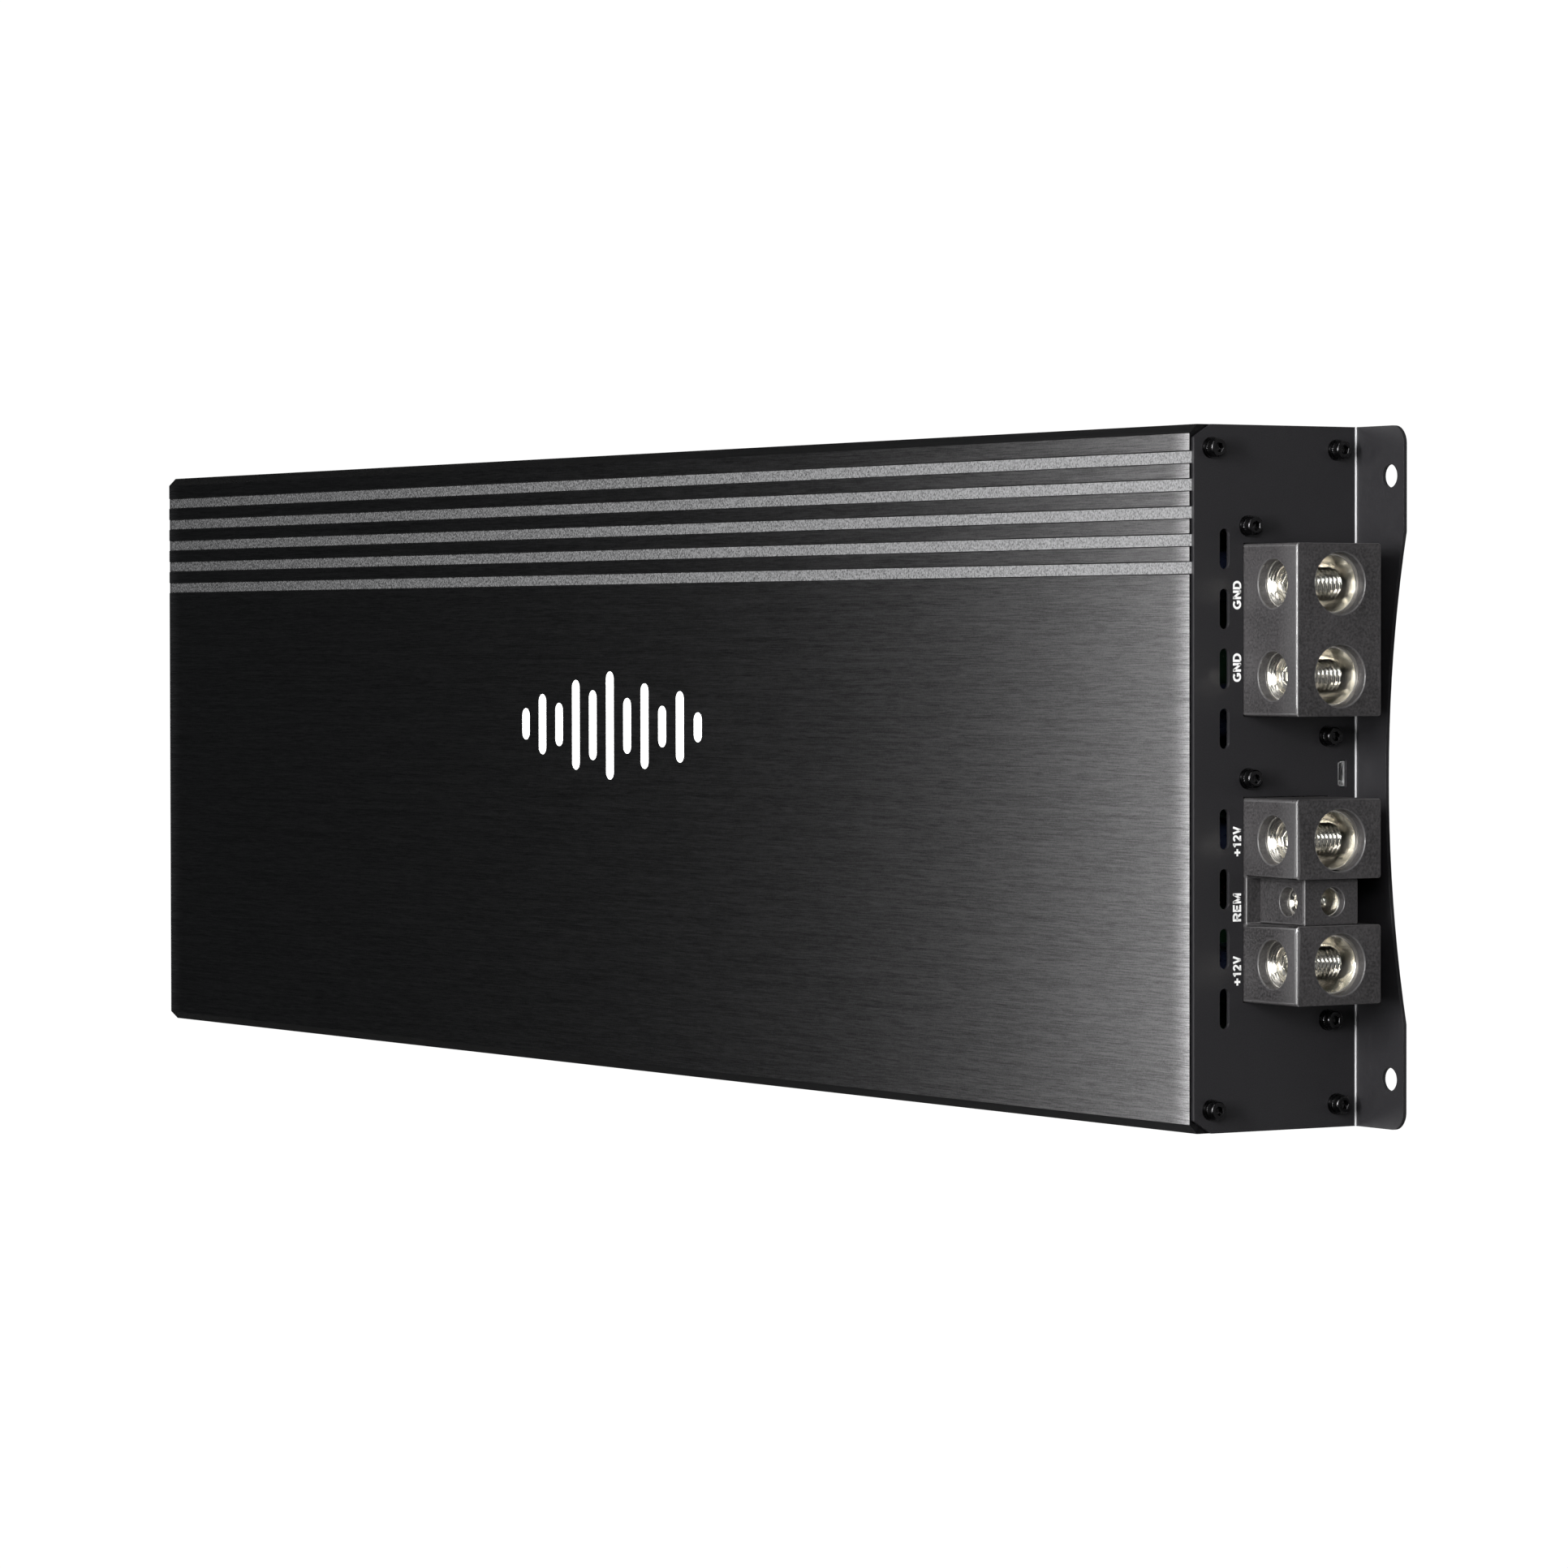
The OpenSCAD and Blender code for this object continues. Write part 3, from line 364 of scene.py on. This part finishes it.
def soften(name, width, segments=2, angle=28, edge=None, clamp=True, front=0):
    """Small real radii on a machined or moulded piece's edges."""
    o = N[name]
    w = o.modifiers.new("weld", "WELD"); w.merge_threshold = 2e-6
    d = o.modifiers.new("planar", "DECIMATE"); d.decimate_type = "DISSOLVE"; d.angle_limit = math.radians(0.4)
    # the edge material goes on the bevel faces; on the terminal housings its lighter colour is a painted highlight
    if edge:
        o.data.materials.append(M[edge])
    if front:
        # the long edge between the top and the front has a wider radius
        vs = o.data.vertices
        far = max(v.co.x * front for v in vs)
        face = [v for v in vs if v.co.x * front > far - 2e-5]
        top = max(v.co.z for v in face)
        g = o.vertex_groups.new(name="front_edge")
        g.add([v.index for v in face if v.co.z > top - 2e-5], 1.0, "REPLACE")
        f = o.modifiers.new("front_edge", "BEVEL")
        f.width = 0.0008; f.segments = 5; f.limit_method = "VGROUP"; f.vertex_group = "front_edge"
        f.use_clamp_overlap = False; f.material = 1
    b = o.modifiers.new("edges", "BEVEL")
    b.width = width; b.segments = segments; b.limit_method = "ANGLE"; b.angle_limit = math.radians(angle)
    b.use_clamp_overlap = clamp; b.harden_normals = False; b.miter_outer = "MITER_ARC" if clamp else "MITER_SHARP"
    if edge:
        b.material = 1
    n = o.modifiers.new("normals", "WEIGHTED_NORMAL"); n.keep_sharp = True; n.weight = 60


soften("gnd_terminal_housing", 0.00038, 3, edge="housing_edge_painted_highlight", clamp=False, front=1)
soften("positive_terminal_housing", 0.00038, 3, edge="housing_edge_painted_highlight", clamp=False, front=1)
soften("remote_terminal_housing", 0.00028, 3, edge="housing_edge_painted_highlight", clamp=False, front=1)
soften("speaker_terminal_housing", 0.00038, 3, edge="housing_edge_painted_highlight", clamp=False, front=-1)
for n in ("gnd_terminal_block", "positive_terminal_blocks", "remote_terminal_block", "speaker_terminal_blocks"):
    soften(n, 0.00030, 2, clamp=False)
soften("heatsink_shell", 0.00012, 1)
soften("power_end_panel", 0.00010, 1)
soften("signal_end_panel", 0.00010, 1)
for n in ("level_knob", "lowpass_knob", "subsonic_knob", "boost_knob"):
    soften(n, 0.00012, 2)
for n in ("rca_jack_shells", "level_remote_port", "phase_slider", "link_slider"):
    soften(n, 0.00012, 2)


# ------------------------------------------------------------------ ring-built pieces
def ring_mesh(parts, segs):
    """One mesh from stacks of rings. Each stack is (place, rings), and a ring is (z, radius(theta)); the ends close to a point."""
    bm = bmesh.new()
    for place, rings in parts:
        rows = []
        for z, rf in rings:
            rows.append([bm.verts.new(place @ Vector((rf(TAU * i / segs) * math.cos(TAU * i / segs),
                                                      rf(TAU * i / segs) * math.sin(TAU * i / segs), z))) for i in range(segs)])
        for a, b in zip(rows, rows[1:]):
            for i in range(segs):
                j = (i + 1) % segs
                bm.faces.new((a[i], a[j], b[j], b[i]))
        for row, z, flip in ((rows[0], rings[0][0], True), (rows[-1], rings[-1][0], False)):
            c = bm.verts.new(place @ Vector((0, 0, z)))
            for i in range(segs):
                j = (i + 1) % segs
                bm.faces.new((row[j], row[i], c) if flip else (row[i], row[j], c))
    bmesh.ops.recalc_face_normals(bm, faces=bm.faces)
    return bm


def finish_mesh(name, bm, mat, body, angle=32):
    me = bpy.data.meshes.new(name)
    bm.to_mesh(me); bm.free()
    for p in me.polygons:
        p.use_smooth = True
    me.set_sharp_from_angle(angle=math.radians(angle))
    me.materials.append(mat)
    o = bpy.data.objects.new(name, me)
    scene.collection.objects.link(o)
    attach(o, body)
    return o


def circle(r):
    return lambda t: r


def hexagon(af):
    h = af / 2
    return lambda t: h / math.cos((t + math.pi / 6) % (math.pi / 3) - math.pi / 6)


# socket cap screws with knurled heads
def cap_rings():
    segs_teeth = 30

    def knurl(r, depth):
        return lambda t: r - depth * (0.5 - 0.5 * math.cos(segs_teeth * t))
    z = MM
    hexf = hexagon(2.5 * MM)
    hexc = hexagon(2.72 * MM)
    return [(-8.9 * z, circle(1.2 * z)), (-8.6 * z, circle(1.5 * z)), (1.35 * z, circle(1.5 * z)),
            (1.36 * z, circle(2.60 * z)), (1.50 * z, circle(2.75 * z)), (1.62 * z, circle(2.75 * z)),
            (1.72 * z, knurl(2.75 * z, 0.13 * z)), (3.55 * z, knurl(2.75 * z, 0.13 * z)), (3.68 * z, circle(2.73 * z)),
            (3.92 * z, circle(2.70 * z)), (4.14 * z, circle(2.58 * z)), (4.28 * z, circle(2.36 * z)), (4.30 * z, circle(1.9 * z)),
            (4.29 * z, hexc), (4.17 * z, hexf), (2.55 * z, hexf), (2.30 * z, lambda t: hexf(t) * 0.55)]


SCREWS = [(1, y, zz) for y in (-98, 98) for zz in (8.7, 55)] + [(1, 75, 41.5), (1, 12.4, 12), (1, 0, 41.5), (1, -72.6, 12)]
SCREWS += [(-1, y, zz) for y in (-98, 98) for zz in (8.7, 55)] + [(-1, -9, 29), (-1, -89, 18)]
parts = []
for k, (s, y, zz) in enumerate(SCREWS):
    turn = Matrix.Rotation(0.55 + 1.7 * k, 4, "Z")
    place = Matrix.Translation((s * XO, y * MM, zz * MM)) @ Matrix.Rotation(s * math.pi / 2, 4, "Y") @ turn
    parts.append((place, cap_rings()))
caps = finish_mesh("cap_screws_detailed", ring_mesh(parts, 120), M["black_screw"], "root", 38)
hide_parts("panel_screws")


# threaded set screws
def thread_rings(length, d, pitch, af, socket):
    r, h = d / 2, 0.58 * pitch
    tip, rings = r - 0.8 * MM, []
    step = pitch / 10
    count = int(round(length / step))

    def at(zc):
        def f(t):
            p = (zc / pitch - t / TAU) % 1.0
            v = abs(2 * p - 1)                       # 1 at the crest, 0 at the root
            prof = min(1.0, max(0.0, (v - 0.12) / 0.72))
            rr = r - h * (1 - prof)
            lim = min(tip + zc * 1.0, r if zc < length - 0.6 * MM else r - (zc - (length - 0.6 * MM)))
            return min(rr, lim)
        return f
    rings.append((0.55 * MM, circle(tip * 0.25)))
    rings.append((0.0, circle(tip * 0.72)))
    rings.append((0.0, circle(tip * 0.92)))
    for i in range(1, count):
        rings.append((i * step, at(i * step)))
    hexf, hexc = hexagon(af), hexagon(af * 1.09)
    rings.append((length, circle(r - 0.75 * MM)))
    rings.append((length, hexc))
    rings.append((length - 0.3 * MM, hexf))
    rings.append((length - socket, hexf))
    rings.append((length - socket - 0.5 * MM, lambda t: hexf(t) * 0.5))
    return rings


SET = {"gnd_set_screw_1": (10, 1.5, 5, 5.0, 0.4), "gnd_set_screw_2": (10, 1.5, 5, 5.0, 1.1), "positive_set_screw_1": (10, 1.5, 5, 5.0, 0.2),
       "positive_set_screw_2": (10, 1.5, 5, 5.0, 0.8), "remote_set_screw": (5, 0.8, 2.5, 2.6, 0.5)}
SET.update({"speaker_set_screw_%d" % i: (8, 1.25, 4, 4.0, 0.3 * i) for i in range(1, 5)})
for n, (d, pitch, af, socket, turn) in SET.items():
    lo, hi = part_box(n)
    place = Matrix.Translation(((lo.x + hi.x) / 2, (lo.y + hi.y) / 2, lo.z)) @ Matrix.Rotation(turn, 4, "Z")
    o = finish_mesh(n + "_threaded", ring_mesh([(place, thread_rings(hi.z - lo.z, d * MM, pitch * MM, af * MM, socket * MM))], 72),
                    M["screw"], n, 50)
    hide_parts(n)


# run-out of the tapped thread on each countersunk mouth
def ridge(bm, cx, cy, z0, z1, wall, height, pitch, half):
    n, rows = 64, []
    turns = (z1 - z0) / pitch
    steps = max(24, int(n * turns))
    for i in range(steps + 1):
        f = i / steps
        z, t = z0 + (z1 - z0) * f, TAU * turns * f
        k = min(1.0, 6 * f, 6 * (1 - f)) + 0.02
        c, s = math.cos(t), math.sin(t)
        prof = [(wall(z - half) + 0.00003, z - half), (wall(z) - height * k, z), (wall(z + half) + 0.00003, z + half)]
        rows.append([bm.verts.new((cx + r * c, cy + r * s, zz)) for r, zz in prof])
    for a, b in zip(rows, rows[1:]):
        for j in range(3):
            k = (j + 1) % 3
            bm.faces.new((a[j], b[j], b[k], a[k]))
    bm.faces.new(rows[0]); bm.faces.new(rows[-1][::-1])


bm = bmesh.new()
for n in [k for k in SET if "remote" not in k]:
    lo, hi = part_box(n)
    big = "speaker" not in n
    top, r0 = (0.0397, 0.00505) if big else (0.0355, 0.00405)
    deep = 0.0017 if big else 0.0010
    ridge(bm, (lo.x + hi.x) / 2, (lo.y + hi.y) / 2, top - deep + 0.00045, top - 0.00022,
          lambda z, top=top, deep=deep, r0=r0: r0 + max(0.0, z - (top - deep)), 0.00030, 0.0006, 0.00020)
bmesh.ops.recalc_face_normals(bm, faces=bm.faces)
finish_mesh("thread_run_outs", bm, M["block"], "root", 60)


# ------------------------------------------------------------------ printed marks
def arc(cx, cy, rx, ry, a0, a1, n=14):
    return [(cx + rx * math.cos(math.radians(a0 + (a1 - a0) * i / n)), cy + ry * math.sin(math.radians(a0 + (a1 - a0) * i / n))) for i in range(n + 1)]


# each mark is strokes in a box 1 high, with its own width, drawn along the middle of the stroke
GLYPHS = {
    "G": (0.78, [arc(0.42, 0.5, 0.33, 0.41, 48, 318) + [(0.67, 0.42), (0.44, 0.42)]]),
    "N": (0.74, [[(0.10, 0.0), (0.10, 1.0)], [(0.10, 0.94), (0.64, 0.06)], [(0.64, 0.0), (0.64, 1.0)]]),
    "D": (0.74, [[(0.10, 0.09), (0.10, 0.91), (0.34, 0.91)] + arc(0.34, 0.5, 0.30, 0.41, 90, -90) + [(0.10, 0.09)]]),
    "R": (0.76, [[(0.10, 0.0), (0.10, 0.91), (0.42, 0.91)] + arc(0.42, 0.695, 0.22, 0.215, 90, -90) + [(0.10, 0.48)], [(0.38, 0.48), (0.66, 0.0)]]),
    "E": (0.66, [[(0.62, 0.91), (0.10, 0.91), (0.10, 0.09), (0.62, 0.09)], [(0.10, 0.51), (0.56, 0.51)]]),
    "M": (0.90, [[(0.10, 0.0), (0.10, 1.0)], [(0.10, 0.93), (0.45, 0.12)], [(0.45, 0.12), (0.80, 0.93)], [(0.80, 0.0), (0.80, 1.0)]]),
    "+": (0.80, [[(0.05, 0.46), (0.75, 0.46)], [(0.40, 0.82), (0.40, 0.565)], [(0.40, 0.355), (0.40, 0.10)]]),
    "1": (0.48, [[(0.30, 0.0), (0.30, 1.0)], [(0.06, 0.72), (0.30, 0.90)]]),
    "2": (0.64, [arc(0.31, 0.68, 0.22, 0.23, 165, -35) + [(0.12, 0.10)], [(0.05, 0.09), (0.58, 0.09)]]),
    "V": (0.72, [[(0.06, 1.0), (0.36, 0.04)], [(0.36, 0.04), (0.66, 1.0)]]),
}


def flat_text(name, body, y0, y1, zc, height, side=1):
    """Generic terminal marking, printed on a panel: it reads along +Y with its top towards +Z on the power panel."""
    gap, total, cursor = 0.10, 0.0, 0.0
    for ch in body:
        total += GLYPHS[ch][0] + gap
    total -= gap
    bmt = bmesh.new()
    half = 0.105

    def face(points):
        low = [bmt.verts.new((side * (XO + 0.00001), yy, zz)) for yy, zz in points]
        high = [bmt.verts.new((side * (XO + 0.00005), yy, zz)) for yy, zz in points]
        bmt.faces.new(high); bmt.faces.new(low[::-1])
        for i in range(len(points)):
            j = (i + 1) % len(points)
            bmt.faces.new((low[i], low[j], high[j], high[i]))
    for ch in body:
        w, strokes = GLYPHS[ch]
        for st in strokes:
            n = len(st)
            left, right = [], []
            for i in range(n):
                a, b = st[max(0, i - 1)], st[min(n - 1, i + 1)]
                p, q = st[i], None
                d0 = Vector((p[0] - a[0], p[1] - a[1])) if i else Vector((b[0] - p[0], b[1] - p[1]))
                d1 = Vector((b[0] - p[0], b[1] - p[1])) if i < n - 1 else d0
                d0.normalize(); d1.normalize()
                n0, n1 = Vector((-d0.y, d0.x)), Vector((-d1.y, d1.x))
                mid = (n0 + n1).normalized()
                k = half / max(0.45, mid.dot(n0))
                left.append((p[0] + mid.x * k, p[1] + mid.y * k)); right.append((p[0] - mid.x * k, p[1] - mid.y * k))
            for i in range(n - 1):
                quad = [left[i], left[i + 1], right[i + 1], right[i]]
                face([(y0 + (cursor + x) / total * (y1 - y0), zc + (y - 0.5) * height) for x, y in quad])
        cursor += w + gap
    bmesh.ops.recalc_face_normals(bmt, faces=bmt.faces)
    return finish_mesh(name, bmt, M["ink"], "root", 30)


for name, body, a, b in (("mark_ground_1", "GND", 50.3, 58.7), ("mark_ground_2", "GND", 28.8, 37.2), ("mark_supply_1", "+12V", -23.1, -14.2),
                         ("mark_remote", "REM", -42.3, -34.0), ("mark_supply_2", "+12V", -61.5, -52.7)):
    flat_text(name, body, a * MM, b * MM, 45.5 * MM, 2.9 * MM)

# dial dots round each knob, and end marks at the slide switches
bm = bmesh.new()
KNOBS = {"level_knob": 43, "lowpass_knob": 27, "subsonic_knob": 11, "boost_knob": -5}
for y in KNOBS.values():
    for k in range(11):
        a = math.radians(-140 + 28 * k)
        r = 0.00030 if k in (0, 5, 10) else 0.00020
        c = Vector((-(XO + 0.00003), (y + 6.9 * math.sin(a)) * MM, (41 + 6.9 * math.cos(a)) * MM))
        bmesh.ops.create_cone(bm, cap_ends=True, segments=20, radius1=r, radius2=r, depth=0.00005,
                              matrix=Matrix.Translation(c) @ Matrix.Rotation(math.pi / 2, 4, "Y"))
for y in (27, 11):
    for d in (-3.1, 3.1):
        bmesh.ops.create_cube(bm, size=1.0, matrix=Matrix.Translation((-(XO + 0.00003), (y + d) * MM, 15.6 * MM)) @ Matrix.Diagonal((0.00005, 0.0004, 0.0014, 1)))
finish_mesh("dial_marks", bm, M["ink"], "root", 30)

# white pointer line laid in each knob's slot
for n, y in KNOBS.items():
    lo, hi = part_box(n)
    bm = bmesh.new()
    bmesh.ops.create_cube(bm, size=1.0, matrix=Matrix.Translation((lo.x + 0.00038, y * MM, (41 + 3.3) * MM)) @ Matrix.Diagonal((0.00028, 0.00092, 0.0036, 1)))
    bmesh.ops.bevel(bm, geom=bm.edges[:], offset=0.00006, segments=2, affect="EDGES")
    finish_mesh(n + "_pointer", bm, M["ink"], n, 40)

# ------------------------------------------------------------------ camera, floor, light
cam = bpy.data.cameras.new("camera")
cam.lens = 140.0; cam.sensor_width = 36.0; cam.clip_start = 0.05; cam.clip_end = 100
co = bpy.data.objects.new("camera", cam)
scene.collection.objects.link(co)
right, up, back = (0.53057709, -0.00162369, -0.84763513), (-0.01835672, 0.99974163, -0.01340545), (0.84743789, 0.02267242, 0.5304102)
co.matrix_world = Matrix.Translation((1.80055, 0.03971, 1.11865)) @ Matrix((
    (right[0], up[0], back[0], 0), (right[1], up[1], back[1], 0), (right[2], up[2], back[2], 0), (0, 0, 0, 1)))
scene.camera = co

fm = bpy.data.meshes.new("floor")
fm.from_pydata([(-30, -30, -0.00004), (30, -30, -0.00004), (30, 30, -0.00004), (-30, 30, -0.00004)], [], [(0, 1, 2, 3)])
floor = bpy.data.objects.new("floor", fm)
scene.collection.objects.link(floor)
paper = bpy.data.materials.new("white_backdrop")
paper.use_nodes = True
pt = paper.node_tree
pt.nodes.remove(pt.nodes["Principled BSDF"])
lit = pt.nodes.new("ShaderNodeBsdfDiffuse"); lit.inputs["Color"].default_value = (0.10, 0.10, 0.10, 1)
glow = pt.nodes.new("ShaderNodeEmission"); glow.inputs["Color"].default_value = (1, 1, 1, 1); glow.inputs["Strength"].default_value = 1.05
path = pt.nodes.new("ShaderNodeLightPath"); pick = pt.nodes.new("ShaderNodeMixShader")
pt.links.new(path.outputs["Is Camera Ray"], pick.inputs[0])
pt.links.new(lit.outputs[0], pick.inputs[1]); pt.links.new(glow.outputs[0], pick.inputs[2])
pt.links.new(pick.outputs[0], pt.nodes["Material Output"].inputs["Surface"])
fm.materials.append(paper)
floor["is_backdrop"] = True


def area(name, loc, aim, size, energy, size_y=None, color=(1, 1, 1)):
    li = bpy.data.lights.new(name, "AREA")
    li.shape = "RECTANGLE"; li.size = size; li.size_y = size_y or size
    li.energy = energy; li.color = color
    o = bpy.data.objects.new(name, li)
    scene.collection.objects.link(o)
    o.location = loc
    o.rotation_mode = "QUATERNION"
    o.rotation_quaternion = (Vector(aim) - Vector(loc)).to_track_quat("-Z", "Y")
    o.visible_camera = False
    return o


area("rear_soft", (-3.0, 0.0, 3.10), (0.2, 0, 0), 3.0, 46, 1.0)
area("key", (0.86, 0.22, 1.55), (0.35, 0, 0.02), 0.9, 44, 0.25)
area("front_soft", (1.62, 0.62, 1.32), (0.34, 0, 0.03), 1.2, 19, 1.3)
area("front_spark", (1.90, 0.45, 1.20), (0.34, 0, 0.03), 0.25, 9, 0.25)
area("side_soft", (1.0, 2.2, 1.2), (0.3, 0, 0), 1.2, 8, 0.8)

world = bpy.data.worlds.new("world")
scene.world = world
world.use_nodes = True
wt = world.node_tree
bg = wt.nodes["Background"]
bg.inputs["Color"].default_value = (0.9, 0.95, 1.0, 1)
bg.inputs["Strength"].default_value = 0.03
bg2 = wt.nodes.new("ShaderNodeBackground"); bg2.inputs["Color"].default_value = (1, 1, 1, 1)
lp = wt.nodes.new("ShaderNodeLightPath"); mx = wt.nodes.new("ShaderNodeMixShader")
wt.links.new(lp.outputs["Is Camera Ray"], mx.inputs[0])
wt.links.new(bg.outputs[0], mx.inputs[1]); wt.links.new(bg2.outputs[0], mx.inputs[2])
wt.links.new(mx.outputs[0], wt.nodes["World Output"].inputs["Surface"])
scene.view_settings.view_transform = "Standard"

lo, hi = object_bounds()
